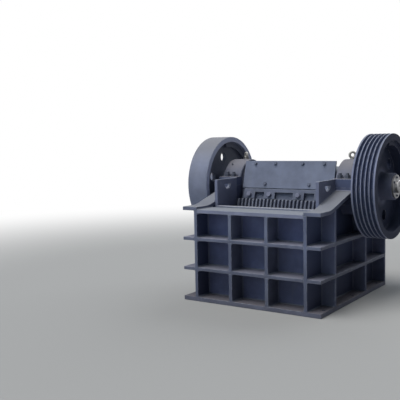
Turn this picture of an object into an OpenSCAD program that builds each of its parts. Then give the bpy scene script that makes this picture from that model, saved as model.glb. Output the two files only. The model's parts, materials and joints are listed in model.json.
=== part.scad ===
// Jaw crusher: welded box frame, split bearing housings, flywheel and grooved sheave
// on an eccentric shaft, and a swing jaw that hangs on the shaft.
// X runs from the flywheel to the sheave, -Y is the front, Z is up, and the origin
// is the middle of the base's underside. All lengths are in millimetres.

/* [Frame] */
// Height of the side flanges' upper face at their flat ends
frame_h = 852; // [840:2:864]
// Clear width between the side walls
wall_gap = 1046; // [1042:2:1050]
// How far the side shelves and flanges stand out of the side walls
side_reach = 122; // [116:1:130]
// Thickness of the side, front and rear walls
wall_t = 30; // [26:1:34]
// Thickness of the base strips
base_t = 36; // [30:1:42]
// Thickness of the two rows of shelf plates
shelf_t = 28; // [24:1:32]
// Thickness of the top flange plates
flange_t = 32; // [26:1:36]
// Thickness of the upright ribs
rib_t = 30; // [24:1:34]
// Depth of the cells in front of the front wall
front_depth = 180; // [170:2:186]
// Depth of the cells behind the rear wall
rear_depth = 180; // [176:2:190]
// Distance between the two inner front ribs
front_rib_pitch = 358; // [340:2:376]
// Distance from the front edge to the first side rib
side_rib_front = 294; // [280:2:310]
// Distance from the front edge to the middle side rib
side_rib_mid = 974; // [950:2:990]
// How far the base strips reach inside the walls
base_lip = 30; // [20:1:40]

/* [Top flange] */
// How far the front flange lies below the side flanges
front_flange_drop = 23; // [18:1:28]
// Gap between the front flange's rear edge and the fixed plate
front_flange_gap = 3; // [2:0.5:5]
// Distance from the front edge to the middle of the side flanges' bend
bend_from_front = 201; // [190:1:212]
// Slope of the side flanges up to the bearing seats
flange_slope = 16; // [15:0.25:17]
// Radius of that bend, on the upper face
bend_r = 400; // [300:10:460]
// Length of the flat rear end of the side flanges
rear_flat_len = 90; // [80:2:100]
// Radius of the rear bend, on the upper face
rear_bend_r = 90; // [60:5:100]

/* [Lifting ears] */
// Distance from the front edge to the ears
ear_from_front = 299; // [290:1:310]
// Height of the ears' top edge above the shaft
ear_up = 72; // [60:1:76]
// Thickness of the ear plates
ear_t = 30; // [24:1:30]
// Rounding of the ears' upper front corner
ear_corner_r = 8; // [2:1:12]
// Radius of the half-round lifting opening
ear_hole_r = 58; // [52:1:62]
// Height of the lifting opening
ear_hole_h = 48; // [42:1:52]
// Distance from the front edge to the middle of the lifting opening
ear_hole_from_front = 477; // [468:1:480]
// Depth of the opening's flat edge below the ear's top
ear_hole_drop = 46; // [40:1:50]
// Rounding of the opening's two corners
ear_hole_corner_r = 8; // [4:1:12]

/* [Bearing housings] */
// Distance from the shaft to the frame's rear edge
shaft_to_rear = 552; // [540:2:570]
// Height of the shaft
shaft_h = 1007; // [1000:1:1014]
// Half the length of a bearing seat, front to rear
seat_half = 301; // [296:1:306]
// Width of a bearing housing along the shaft
housing_w = 197; // [190:1:200]
// Radius of the housings' bore
housing_bore_r = 180; // [170:1:184]
// Outer radius of the bearing caps
cap_r = 240; // [236:1:244]
// Chamfer of the caps' edges
cap_chamfer = 6; // [3:0.5:9]
// Height of the cap's feet above the shaft
cap_foot_h = 79; // [72:1:84]
// Depth of the bearing seat below the shaft
seat_depth = 240; // [230:1:246]
// Size of the seat's sloped lower corners
seat_corner = 90; // [70:2:100]
// Radius of the cap studs
stud_r = 15; // [12:0.5:16]
// Distance between the two studs of one foot
stud_pitch = 69; // [64:1:74]
// Distance from the foot's end to the studs
stud_inset = 42; // [38:1:46]
// Radius of the pockets that clear the nuts
nut_pocket_r = 42; // [38:1:46]
// Distance from the housing's inner face to the middle of the studs
stud_in = 91; // [86:1:96]
// Distance from the housing's inner face to the eyebolt
eyebolt_in = 67; // [60:1:74]
// Mean radius of the eyebolt's ring
eye_ring_r = 25.5; // [24:0.5:30]
// Radius of the eyebolt's bar
eye_bar_r = 11; // [8:0.5:12]
// Radius of the flat boss under the eyebolt
eye_boss_r = 26; // [24:1:30]
// Turn of the eyebolt's ring about its shank
eye_turn = 35; // [0:5:90]
// Thickness of the bearings' end covers
cover_t = 14; // [12:1:18]
// How far a cover laps over the housing, on the radius
cover_lap = 26; // [20:1:30]

/* [Shaft] */
// Radius of the bearing journals
journal_r = 85; // [80:1:88]
// Radius of the wheel seats
wheel_seat_r = 78; // [70:1:78]
// Radius of the shaft's ends
shaft_end_r = 56; // [48:1:60]
// Radius of the eccentric middle
ecc_r = 105; // [102:1:110]
// How far the eccentric's axis lies in front of the shaft's
ecc_front = 6; // [5:0.5:8]
// How far the eccentric's axis lies below the shaft's
ecc_drop = 8; // [6:0.5:10]
// How far the shaft's ends stand out of the hubs
shaft_out = 41; // [36:1:50]
// Chamfer of the shaft's ends
shaft_chamfer = 5; // [2:0.5:8]
// Thickness of the rings that hold the wheels
lock_ring_t = 14; // [10:1:18]
// Outer radius of those rings
lock_ring_r = 104; // [98:1:108]

/* [Wheels] */
// Outer radius of both wheels
wheel_r = 465; // [455:1:475]
// Face width of the sheave's rim
rim_w = 207; // [200:1:212]
// Face width of the flywheel's rim
flywheel_w = 220; // [207:1:222]
// Thickness of the flywheel's rim at its edges
rim_t = 50; // [44:1:56]
// Growth of the rims' thickness from the edges to the disc
rim_draft = 8; // [4:1:12]
// Thickness of the wheel discs
web_t = 40; // [34:1:46]
// Distance from the rim's inner edge to the disc
web_in = 58; // [50:1:64]
// Radius of the wheel hubs
hub_r = 118; // [114:1:126]
// Growth of the hub's radius from its ends to the disc
hub_draft = 5; // [3:1:8]
// How far the hubs stand out of the rims, towards the housings
hub_step = 14; // [10:1:18]
// How far the hubs stand out of the rims' outer edges
hub_proud = 16; // [10:1:24]
// Fillet between disc, hub and rim
wheel_fillet = 20; // [12:1:26]
// Rounding of the castings' outer edges
wheel_edge_r = 5; // [3:0.5:7]
// Circle radius of the lightening holes
web_hole_circle = 272; // [262:1:280]
// Radius of a lightening hole
web_hole_r = 48; // [40:1:54]
// Number of lightening holes
web_hole_n = 6; // [5:1:6]
// Angle from the middle of the counterweight to a lightening hole
web_hole_turn = 51; // [45:1:56]
// Inner radius of the counterweights
weight_r = 362; // [352:1:372]
// Angle that a counterweight covers
weight_arc = 90; // [80:2:100]
// Depth of the counterweight below the rim's inner edge
weight_inner_drop = 30; // [20:1:36]
// Depth of the counterweight below the rim's outer edge
weight_outer_drop = 20; // [12:1:30]
// Number of belt grooves
groove_n = 5; // [4:1:5]
// Pitch of the belt grooves
groove_pitch = 37; // [35:0.5:38]
// Depth of a belt groove
groove_depth = 28; // [24:0.5:30]
// Width of a groove at the rim
groove_w = 30; // [26:0.5:32]
// Slope of a groove's flanks
groove_flank = 19; // [17:0.5:20]
// Rim thickness below the grooves
sheave_rim_t = 34; // [28:1:40]

/* [Jaw plates] */
// Pitch of the teeth
tooth_pitch = 39; // [36:0.5:44]
// How far a middle crest of the swing plate lies towards the sheave
tooth_shift = 7; // [0:0.5:12]
// Height of the teeth
tooth_h = 24; // [18:1:28]
// Width of a tooth at its crest
tooth_crest_w = 13; // [10:0.5:15]
// Width of a tooth at its foot
tooth_foot_w = 29; // [26:0.5:32]
// Rounding of the crests and roots
tooth_round = 4; // [2:0.5:4.5]
// Rounding of the teeth's upper and lower ends
tooth_end_r = 18; // [12:1:22]
// Thickness of the swing plate, teeth included
swing_plate_t = 72; // [66:1:76]
// Thickness of the fixed plate, teeth included
fixed_plate_t = 96; // [90:1:100]
// Gap between the plates' crests at the jaw's lower end
discharge = 60; // [50:1:70]
// Thickness of the pad behind the fixed plate
pad_t = 52; // [46:1:56]
// Height of the fixed plate's lower end
fixed_plate_low = 130; // [120:2:140]
// How far the fixed plate stands above the front flange
fixed_plate_proud = 11; // [8:1:16]
// Height of the ledge under the fixed plate
ledge_h = 40; // [30:1:50]
// Thickness of the cheek plates
cheek_t = 18; // [14:1:20]
// Length of the cheek plates' lower edge
cheek_low_len = 275; // [260:5:290]
// Gap between the cheek plates and the flange and seats
cheek_gap = 6; // [4:1:10]

/* [Swing jaw] */
// Lean of the swing jaw's face
jaw_lean = 16; // [15:0.25:17]
// Distance from the jaw's pivot to its front face
jaw_face = 192; // [188:1:196]
// Distance from the jaw's pivot down to the swing plate's top
plate_top = 192; // [190:1:200]
// Height of the swing plate's lower end, on the jaw's face
swing_plate_low = 144; // [138:1:150]
// Outer radius of the barrel
barrel_r = 182; // [176:1:184]
// Radius of the barrel's bore
barrel_bore_r = 150; // [144:1:154]
// Width of the jaw's own bearings
jaw_bearing_w = 126; // [110:2:140]
// Thickness of the covers in the barrel's ends
jaw_cover_t = 18; // [14:1:22]
// Thickness of the jaw's front slab
slab_t = 60; // [54:1:66]
// How far the slab rises above the pivot
slab_up = 90; // [80:1:110]
// How far the slab reaches below the plate
slab_toe = 15; // [10:1:18]
// Thickness of the jaw's back ribs
jaw_rib_t = 30; // [24:1:36]
// Distance of the two inner back ribs from the middle
jaw_rib_in = 145; // [130:5:160]
// Distance from the pivot's plane to the back of the foot
foot_back = 10; // [4:1:16]
// Height of the foot that takes the toggle
foot_h = 150; // [140:2:160]
// Height of the toggle's seat above the plate's lower end
seat_up = 87; // [84:1:90]

/* [Guard and clamp] */
// Thickness of the guard plate
guard_t = 16; // [12:1:20]
// Top of the guard plate above the jaw's pivot
guard_up = 187; // [180:1:192]
// Bottom of the guard plate below the jaw's pivot
guard_down = 79; // [74:1:84]
// Distance of the guard's outer upper bolts from the middle
guard_bolt_out = 357; // [340:1:370]
// Distance of the guard's inner upper bolts from the middle
guard_bolt_in = 142; // [130:1:160]
// Distance of the guard's lower bolts from the middle
guard_bolt_low = 228; // [210:1:250]
// Distance from the guard's top edge to its upper bolts
guard_bolt_top_edge = 26; // [22:1:34]
// Distance from the guard's bottom edge to its lower bolts
guard_bolt_low_edge = 42; // [30:1:50]
// Radius of the guard's bolts
guard_bolt_r = 9; // [7:0.5:11]
// Thickness of the clamp bar
clamp_t = 49; // [44:1:54]
// Height of the clamp bar
clamp_h = 96; // [90:1:100]
// How far the clamp bar's ends lie inside the toothed plate's edges
clamp_inset = 62; // [50:1:66]
// Gap between the clamp bar and the toothed plate below it
clamp_gap = 4; // [2:0.5:6]
// Distance of the outer clamp bolts from the middle
clamp_bolt_out = 364; // [358:1:368]
// Distance of the inner clamp bolts from the middle
clamp_bolt_in = 150; // [140:2:160]
// Distance from the bar's lower edge to the bolts
clamp_bolt_up = 40; // [36:1:46]
// Radius of the clamp bolts
clamp_bolt_r = 13; // [10:0.5:15]
// Height of the bar that is left over its notches
notch_top = 34; // [28:1:40]
// Half the width that a notch leaves at each bolt
notch_side = 57; // [50:1:60]
// Depth of the notches in the bar's front
notch_depth = 34; // [28:1:40]

/* [Toggle and tension rods] */
// Thickness of the toggle plate
toggle_t = 32; // [26:1:36]
// How far the toggle plate's ends lie inside the toothed plates' edges
toggle_inset = 50; // [40:2:60]
// Radius of the toggle's rounded ends
toggle_end_r = 22; // [19:0.5:24]
// Rise of the toggle from the jaw to the rear beam
toggle_rise = 73; // [66:1:80]
// Opened gap between the toggle and the swing jaw
toggle_gap = 27; // [26:0.5:30]
// Room around the toggle's end in the jaw's groove
toggle_room = 10; // [9:0.5:12]
// Room beside the toggle in its two grooves
toggle_side = 12; // [8:1:16]
// Depth of the toggle beam, front to rear
beam_depth = 120; // [110:2:130]
// Height of the toggle beam
beam_h = 170; // [160:2:180]
// Distance of the tension rods below the toggle's seat in the jaw
rod_drop = 65; // [62:1:70]
// Distance from that seat to the rods' eyes
rod_eye_back = 40; // [38:1:46]
// Radius of the tension rods
rod_r = 15; // [12:0.5:16]
// Distance between the two tension rods
rod_pitch = 520; // [510:5:560]
// Room around the rods in the rear wall, on the radius
rod_room = 4; // [3:0.5:6]
// Gap between the rods' rear ends and the frame's rear edge
rod_end_gap = 4; // [2:1:8]
// Mean radius of the spring's coils
spring_r = 36; // [32:0.5:38]
// Radius of the spring wire
spring_wire_r = 7; // [5:0.5:7.5]
// Length of the spring
spring_len = 118; // [110:1:122]
// Number of the spring's turns
spring_turns = 5; // [4:1:6]
// Thickness of the washer behind the spring
washer_t = 10; // [6:1:12]

/* [Foundation holes] */
// Radius of a foundation hole
anchor_r = 17; // [13:0.5:20]
// Distance from the frame's sides to the rows of holes
anchor_from_side = 38; // [32:1:44]
// Distance from the frame's ends to the front and rear holes
anchor_from_end = 137; // [130:1:144]

/* [Fits] */
// Gap between the toothed plates and the cheek plates
side_gap = 15; // [12:1:18]
// Gap between the jaw's barrel and the inner bearing covers
barrel_gap = 9; // [7:1:12]
// Gap between the outer bearing covers and the wheel hubs
hub_gap = 14; // [10:1:18]
// Running fit of the shaft in its bearings, on the radius
run_fit = 0.05; // [0.02:0.01:0.09]
// Running gap of the shaft in the covers, on the radius
cover_fit = 1.5; // [1:0.1:2]
// Seat of a still round piece in its recess, on the radius
seat_fit = 0.3; // [0.1:0.1:0.4]

/* [Hidden] */
$fn = 96;
paint = "#5b6378";
dust = "#8a8d8f";
bare = "#9aa0a6";
dark = "#3a4152";

// Overlap of united solids, and reach of a cut past the faces it goes through
eps = 0.01;
past = 1;

// The jaw's lower end, measured from the eccentric's axis along its face, and the
// shaft's place that gives the discharge there
ecc_z = shaft_h - ecc_drop;
jaw_low = -(ecc_z + jaw_face * sin(jaw_lean) - swing_plate_low) / cos(jaw_lean);
shaft_from_front = round(front_depth + wall_t + pad_t + fixed_plate_t + discharge + ecc_front
                         + (jaw_face + swing_plate_t) * cos(jaw_lean) - jaw_low * sin(jaw_lean));
frame_len = shaft_from_front + shaft_to_rear;

// Frame
front_y = -frame_len / 2;
rear_y = frame_len / 2;
half_gap = wall_gap / 2;
wall_out = half_gap + wall_t;
half_w = wall_out + side_reach;
front_wall_y = front_y + front_depth;
front_wall_back = front_wall_y + wall_t;
rear_wall_y = rear_y - rear_depth - wall_t;
rear_wall_back = rear_wall_y + wall_t;
bay_h = (frame_h - base_t - 2 * shelf_t - flange_t) / 3;
bay_step = bay_h + shelf_t;
top_bay_z = base_t + 2 * bay_step;
flange_low = frame_h - flange_t;
front_flange_top = frame_h - front_flange_drop;
front_flange_low = front_flange_top - flange_t;

// Shaft, bearing housings and the flanges that rise to them
axis_y = front_y + shaft_from_front;
axis_z = shaft_h;
seat_front = axis_y - seat_half;
seat_rear = axis_y + seat_half;
seat_inner = half_gap - ear_t;
seat_outer = seat_inner + housing_w;
seat_low = axis_z - seat_depth;
bend_y = front_y + bend_from_front;
rear_flat_y = rear_y - rear_flat_len;
rise = tan(flange_slope) * (seat_front - bend_y);
rear_slope = atan2(rise, rear_flat_y - seat_rear);
ear_top = axis_z + ear_up;
cover_r = housing_bore_r + cover_lap;
cover_bore = journal_r + cover_fit;
stud_x = seat_inner + stud_in;
stud_y = seat_half - stud_inset;
foot_top = axis_z + cap_foot_h;
eye_boss_h = 2;
nut_r = 1.75 * stud_r;

// Eccentric and counterweights
ecc_y = axis_y - ecc_front;
weight_dir = atan2(ecc_drop, ecc_front);

// Wheels
hub_in = seat_outer + cover_t + hub_gap;
wheel_in = hub_in + hub_step;
wheel_out = wheel_in + rim_w;
flywheel_out = wheel_in + flywheel_w;
hub_out = wheel_out + hub_proud;
shaft_end = hub_out + shaft_out;
web_face = wheel_in + web_in;
web_back = web_face + web_t;
sheave_rim_r = wheel_r - groove_depth - sheave_rim_t;
flywheel_rim_r = wheel_r - rim_t;

// Jaw plates and swing jaw
jaw_half = half_gap - cheek_t - side_gap;
barrel_half = seat_inner - cover_t - barrel_gap;
swing_root = swing_plate_t - tooth_h;
fixed_root = fixed_plate_t - tooth_h;
fixed_back_y = front_wall_back + pad_t;
swing_plate_len = -jaw_low - plate_top;
slab_back = jaw_face - slab_t;
ledge_inset = 12;
toe = jaw_low - slab_toe;

// Clamp bar
clamp_half = jaw_half - clamp_inset;
clamp_low = -plate_top + clamp_gap;
clamp_top = clamp_low + clamp_h;
clamp_bolts_x = [-clamp_bolt_out, -clamp_bolt_in, clamp_bolt_in, clamp_bolt_out];
clamp_bolt_h = clamp_low + clamp_bolt_up;

// Toggle and tension rods, from the toggle's seat in the jaw
toggle_half = jaw_half - toggle_inset;
jaw_seat_y = ecc_y - foot_back * cos(jaw_lean) + (jaw_low + seat_up) * sin(jaw_lean);
jaw_seat_z = ecc_z + foot_back * sin(jaw_lean) + (jaw_low + seat_up) * cos(jaw_lean);
beam_y = rear_wall_y - beam_depth;
beam_z = jaw_seat_z + toggle_rise;
toggle_angle = atan2(toggle_rise, beam_y - jaw_seat_y);
toggle_len = norm([beam_y - jaw_seat_y, toggle_rise]) - toggle_gap;
rod_z = jaw_seat_z - rod_drop;
rod_front = jaw_seat_y + rod_eye_back;
spring_y = rear_wall_back + seat_fit;
washer_y = spring_y + spring_len + seat_fit;

function unit(v) = v / norm(v);

// Outline whose corner i is an arc of radius r[i], or sharp where r[i] is 0.
function rounded(p, r, steps = 4) = [for (i = [0:len(p) - 1])
    let (a = unit(p[(i + len(p) - 1) % len(p)] - p[i]),
         b = unit(p[(i + 1) % len(p)] - p[i]),
         half = acos(a * b) / 2,
         centre = p[i] + unit(a + b) * r[i] / sin(half),
         from = p[i] + a * r[i] / tan(half) - centre,
         to = p[i] + b * r[i] / tan(half) - centre,
         start = atan2(from.y, from.x),
         sweep = (atan2(to.y, to.x) - start + 540) % 360 - 180)
    each r[i] == 0 ? [p[i]] : [for (k = [0:steps])
        centre + r[i] * [cos(start + sweep * k / steps), sin(start + sweep * k / steps)]]];

// Prism with its outline in the Y-Z plane, from x0 to x1.
module side_prism(x0, x1) {
    translate([x0, 0, 0]) rotate([90, 0, 90]) linear_extrude(x1 - x0) children();
}

// Round bar or disc along X, from x0 to x1, centred on y, z.
module x_bar(r, x0, x1, y = axis_y, z = axis_z) {
    translate([x0, y, z]) rotate([0, 90, 0]) cylinder(r = r, h = x1 - x0);
}

// Ring along X, from x0 to x1.
module x_ring(r_out, r_in, x0, x1, y = axis_y, z = axis_z) {
    difference() {
        x_bar(r_out, x0, x1, y, z);
        x_bar(r_in, x0 - past, x1 + past, y, z);
    }
}

// Turned shape about the shaft, from a half-section drawn as radius and x.
module turned() {
    translate([0, axis_y, axis_z]) rotate([0, 90, 0]) rotate_extrude() children();
}

// Box from its low corner to its high corner.
module slab(low, high) {
    translate(low) cube(high - low);
}

// The same shape on the right side and, mirrored, on the left.
module both_sides() {
    children();
    mirror([1, 0, 0]) children();
}

// The right-hand shape for side = 1, its mirror image for side = -1.
module on_side(side) {
    if (side > 0) children();
    else mirror([1, 0, 0]) children();
}

// Base strips
module base_strip(side) color(dust) on_side(side) difference() {
    slab([half_gap - base_lip, front_y, 0], [half_w, rear_y, base_t]);
    for (i = [-1:1])
        translate([half_w - anchor_from_side, i * (rear_y - anchor_from_end), -past])
            cylinder(r = anchor_r, h = base_t + 2 * past);
}

module base_end_strips() color(dust) {
    inner = half_gap - base_lip;
    slab([-inner, front_y, 0], [inner, front_wall_back + base_lip, base_t]);
    slab([-inner, rear_wall_y - base_lip, 0], [inner, rear_y, base_t]);
}

// Front wall with the pad behind the fixed plate and the ledge under it
module front_wall() color(paint) {
    slab([-half_gap, front_wall_y, base_t], [half_gap, front_wall_back, front_flange_low]);
    side_prism(-jaw_half, jaw_half)
        polygon([[front_wall_back - eps, front_flange_low], [fixed_back_y, front_flange_low],
                 [fixed_back_y, fixed_plate_low], [fixed_back_y + fixed_root, fixed_plate_low],
                 [fixed_back_y + fixed_root, fixed_plate_low - ledge_h / 2],
                 [fixed_back_y, fixed_plate_low - ledge_h],
                 [front_wall_back - eps, fixed_plate_low - ledge_h]]);
}

module rear_wall() color(paint) difference() {
    slab([-half_gap, rear_wall_y, base_t], [half_gap, rear_wall_back, flange_low]);
    for (x = [-1, 1] * rod_pitch / 2)
        translate([x, rear_wall_y - past, rod_z]) rotate([-90, 0, 0])
            cylinder(r = rod_r + rod_room, h = wall_t + 2 * past);
}

// Side flanges: level of a face that lies d below the upper face, and its corners
function slope_z(d, y) = frame_h - d / cos(flange_slope) + tan(flange_slope) * (y - bend_y);
function front_face(d) = [[front_y, frame_h - d],
                          [bend_y + d * tan(flange_slope / 2), frame_h - d],
                          [seat_front, slope_z(d, seat_front)]];
function rear_face(d) = [[seat_rear, frame_h + rise - d / cos(rear_slope)],
                         [rear_flat_y - d * tan(rear_slope / 2), frame_h - d],
                         [rear_y, frame_h - d]];
bend_steps = 8;

module side_flange(side) color(dust) on_side(side) side_prism(half_gap, half_w) {
    upper = front_face(0);
    lower = front_face(flange_t);
    polygon(rounded([lower[0], lower[1], lower[2], upper[2], upper[1], upper[0]],
                    [0, bend_r + flange_t, 0, 0, bend_r, 0], bend_steps));
    rear_upper = rear_face(0);
    rear_lower = rear_face(flange_t);
    polygon(rounded([rear_lower[0], rear_lower[1], rear_lower[2],
                     rear_upper[2], rear_upper[1], rear_upper[0]],
                    [0, rear_bend_r + flange_t, 0, 0, rear_bend_r, 0], bend_steps));
}

// Outline of the bearing seat, and of the recess for it in the side wall
module seat_outline() {
    polygon([[seat_front, axis_z], [seat_front, seat_low + seat_corner],
             [seat_front + seat_corner, seat_low], [seat_rear - seat_corner, seat_low],
             [seat_rear, seat_low + seat_corner], [seat_rear, axis_z]]);
}

module side_wall(side) color(paint) on_side(side) side_prism(half_gap, wall_out) difference() {
    polygon(rounded(concat([[front_y, base_t]], front_face(flange_t),
                           [[seat_front, axis_z], [seat_rear, axis_z]], rear_face(flange_t),
                           [[rear_y, base_t]]),
                    [0, 0, bend_r + flange_t, 0, 0, 0, 0, rear_bend_r + flange_t, 0, 0], bend_steps));
    seat_outline();
}

// Upright ribs in the front and rear cells, up to the flange above them
module end_ribs(y0, y1, top) {
    for (x = [-1, 1] * front_rib_pitch / 2)
        for (i = [0:2])
            slab([x - rib_t / 2, y0, base_t + i * bay_step],
                 [x + rib_t / 2, y1, min(base_t + i * bay_step + bay_h, top)]);
}

module front_ribs() color(paint) end_ribs(front_y, front_wall_y, front_flange_low);

module rear_ribs() color(paint) end_ribs(rear_wall_back, rear_y, flange_low);

// Upright ribs outside the side walls; the top row follows the flange and the seat
module side_ribs() color(paint) both_sides() {
    y_front = front_y + side_rib_front;
    y_mid = front_y + side_rib_mid;
    for (y = [y_front, y_mid, rear_y - rib_t / 2])
        for (i = [0:1])
            slab([wall_out, y - rib_t / 2, base_t + i * bay_step],
                 [half_w, y + rib_t / 2, base_t + i * bay_step + bay_h]);
    side_prism(wall_out, half_w) {
        y0 = y_front - rib_t / 2;
        y1 = y_front + rib_t / 2;
        polygon([[y0, top_bay_z], [y1, top_bay_z],
                 [y1, slope_z(flange_t, y1)], [y0, slope_z(flange_t, y0)]]);
    }
    slab([wall_out, y_mid - rib_t / 2, top_bay_z], [half_w, y_mid + rib_t / 2, seat_low]);
    slab([wall_out, rear_y - rib_t, top_bay_z], [half_w, rear_y, flange_low]);
}

// Shelf plates
module end_shelves(y0, y1) {
    for (i = [1:2])
        slab([-half_gap, y0, base_t + i * bay_step - shelf_t],
             [half_gap, y1, base_t + i * bay_step]);
}

module front_shelves() color(dust) end_shelves(front_y, front_wall_y);

module rear_shelves() color(dust) end_shelves(rear_wall_back, rear_y);

module side_shelves() color(dust) both_sides() {
    for (i = [1:2])
        slab([wall_out, front_y, base_t + i * bay_step - shelf_t],
             [half_w, rear_y, base_t + i * bay_step]);
}

// Flat top flanges; the front one lies lower, between the side flanges
module front_top_flange() color(dust)
    slab([-half_gap, front_y, front_flange_low],
         [half_gap, fixed_back_y - front_flange_gap, front_flange_top]);

module rear_top_flange() color(dust)
    slab([-half_gap, rear_wall_y, flange_low], [half_gap, rear_y, frame_h]);

// Lifting ears with a half-round opening, flat side up
module ear_plate(side) color(paint) on_side(side) side_prism(seat_inner, half_gap) difference() {
    y0 = front_y + ear_from_front;
    polygon(rounded([[y0, flange_low], [y0, ear_top], [seat_front, ear_top], [seat_front, flange_low]],
                    [0, ear_corner_r, 0, 0]));
    translate([front_y + ear_hole_from_front, ear_top - ear_hole_drop - ear_hole_h])
        offset(r = ear_hole_corner_r) offset(delta = -ear_hole_corner_r) intersection() {
            translate([0, ear_hole_r]) circle(r = ear_hole_r);
            translate([-ear_hole_r, 0]) square([2 * ear_hole_r, ear_hole_h]);
        }
}

// Bearing housings
module bearing_seat(side) color(paint) on_side(side) difference() {
    side_prism(seat_inner, seat_outer) seat_outline();
    x_bar(housing_bore_r, seat_inner - past, seat_outer + past);
}

module bearing_cap(side) color(dust) on_side(side) difference() {
    union() {
        turned() polygon([[0, seat_inner], [cap_r - cap_chamfer, seat_inner],
                          [cap_r, seat_inner + cap_chamfer], [cap_r, seat_outer - cap_chamfer],
                          [cap_r - cap_chamfer, seat_outer], [0, seat_outer]]);
        side_prism(seat_inner, seat_outer)
            polygon([[seat_front, axis_z], [seat_front, foot_top - cap_chamfer],
                     [seat_front + cap_chamfer, foot_top], [seat_rear - cap_chamfer, foot_top],
                     [seat_rear, foot_top - cap_chamfer], [seat_rear, axis_z]]);
        translate([seat_inner + eyebolt_in, axis_y, axis_z + housing_bore_r])
            cylinder(r = eye_boss_r, h = cap_r - housing_bore_r + eye_boss_h);
    }
    x_bar(housing_bore_r, seat_inner - past, seat_outer + past);
    slab([seat_inner - past, axis_y - cap_r - past, axis_z - cap_r - past],
         [seat_outer + past, axis_y + cap_r + past, axis_z]);
    for (x = [-1, 1] * stud_pitch / 2)
        for (y = [-1, 1] * stud_y)
            translate([stud_x + x, axis_y + y, foot_top]) cylinder(r = nut_pocket_r, h = cap_r);
}

// Stud end with its nut and washer, standing on the cap's foot
module stud() {
    cylinder(r = 1.9 * stud_r, h = 0.35 * stud_r);
    translate([0, 0, 0.35 * stud_r]) cylinder(r = nut_r, h = 1.7 * stud_r, $fn = 6);
    cylinder(r = stud_r, h = 3.2 * stud_r);
}

module cap_studs() color(bare) both_sides()
    for (x = [-1, 1] * stud_pitch / 2)
        for (y = [-1, 1] * stud_y)
            translate([stud_x + x, axis_y + y, foot_top]) stud();

module cap_eyebolts() color(bare) both_sides()
    translate([seat_inner + eyebolt_in, axis_y, axis_z + cap_r + eye_boss_h]) {
        translate([0, 0, eye_bar_r + eye_ring_r]) rotate([90, 0, eye_turn]) rotate_extrude()
            translate([eye_ring_r, 0]) circle(r = eye_bar_r);
        cylinder(r = 2 * eye_bar_r, h = eye_bar_r);
    }

// Bearing rings and the covers on both faces of each housing
module main_bearings() color(bare) both_sides()
    x_ring(housing_bore_r, journal_r + run_fit, seat_inner + cover_t, seat_outer - cover_t);

module bearing_end_covers() color(dark) both_sides()
    turned() {
        edge = cover_t / 4;
        polygon([[cover_bore, seat_inner], [cover_r, seat_inner],
                 [cover_r, seat_inner - cover_t + edge], [cover_r - edge, seat_inner - cover_t],
                 [cover_bore, seat_inner - cover_t]]);
        polygon([[cover_bore, seat_outer], [cover_r, seat_outer],
                 [cover_r, seat_outer + cover_t - edge], [cover_r - edge, seat_outer + cover_t],
                 [cover_bore, seat_outer + cover_t]]);
    }

// Toothed plate section: width along x, teeth towards +y, back at y = 0. One crest is
// at x = middle, and the teeth are cut off at the plate's edges.
module tooth_section(middle, crest) intersection() {
    root = crest - tooth_h;
    n = ceil(jaw_half / tooth_pitch) + 1;
    end = (n + 1) * tooth_pitch;
    teeth = [for (i = [-n:n]) let (x = middle + i * tooth_pitch) each [
        [x - tooth_foot_w / 2, root], [x - tooth_crest_w / 2, crest],
        [x + tooth_crest_w / 2, crest], [x + tooth_foot_w / 2, root]]];
    polygon(rounded(concat([[-end, 0], [-end, root]], teeth, [[end, root], [end, 0]]),
                    concat([0, 0], [for (p = teeth) tooth_round], [0, 0]), 2));
    translate([-jaw_half, 0]) square([2 * jaw_half, crest]);
}

// Toothed plate of length h along z, with the teeth rounded off at both ends
module toothed_plate(middle, crest, h) intersection() {
    linear_extrude(h) tooth_section(middle, crest);
    side_prism(-jaw_half - past, jaw_half + past)
        polygon(rounded([[-past, -past], [-past, h + past], [crest - tooth_end_r, h + past],
                         [crest - tooth_end_r, h], [crest, h], [crest, 0],
                         [crest - tooth_end_r, 0], [crest - tooth_end_r, -past]],
                        [0, 0, 0, 0, tooth_end_r - eps, tooth_end_r - eps, 0, 0]));
}

module fixed_jaw_plate() color(bare)
    translate([0, fixed_back_y, fixed_plate_low])
        toothed_plate(tooth_shift - tooth_pitch / 2, fixed_plate_t,
                      front_flange_top + fixed_plate_proud - fixed_plate_low);

module cheek_plate(side) color(bare) on_side(side)
    side_prism(half_gap - cheek_t, half_gap)
        polygon([[front_wall_back, fixed_plate_low], [front_wall_back, front_flange_low - cheek_gap],
                 [seat_front - cheek_gap, front_flange_low - cheek_gap],
                 [front_wall_back + cheek_low_len, fixed_plate_low]]);

// Everything on the swing jaw is drawn in its own plane: x along the shaft, y out of
// the jaw's face and z up along the face, from the eccentric's axis.
module in_jaw_plane() {
    translate([0, ecc_y, ecc_z]) rotate([-jaw_lean, 0, 0]) mirror([0, 1, 0]) children();
}

// The same plane for a prism along X whose outline is drawn in face and height.
module jaw_prism(x0, x1) {
    in_jaw_plane() side_prism(x0, x1) children();
}

// Front slab of the jaw, widened at its lower end to the foot that takes the toggle
module slab_and_foot() {
    polygon(rounded([[jaw_face, slab_up], [jaw_face, toe], [foot_back + slab_t, toe],
                     [foot_back, toe + slab_t], [foot_back, jaw_low + foot_h],
                     [slab_back, jaw_low + foot_h + slab_t], [slab_back, slab_up]],
                    [10, 10, 20, 20, 20, 50, 10]));
}

// Back rib, from the barrel's rear down to the foot
module back_rib() {
    polygon(rounded([[slab_back + eps, 0], [-barrel_r + jaw_rib_t / 2, 0],
                     [-barrel_r + 2 * jaw_rib_t, -barrel_r + jaw_rib_t], [foot_back + eps, jaw_low + foot_h],
                     [slab_back + eps, jaw_low + foot_h]],
                    [0, 0, 120, 0, 0]));
}

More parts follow.
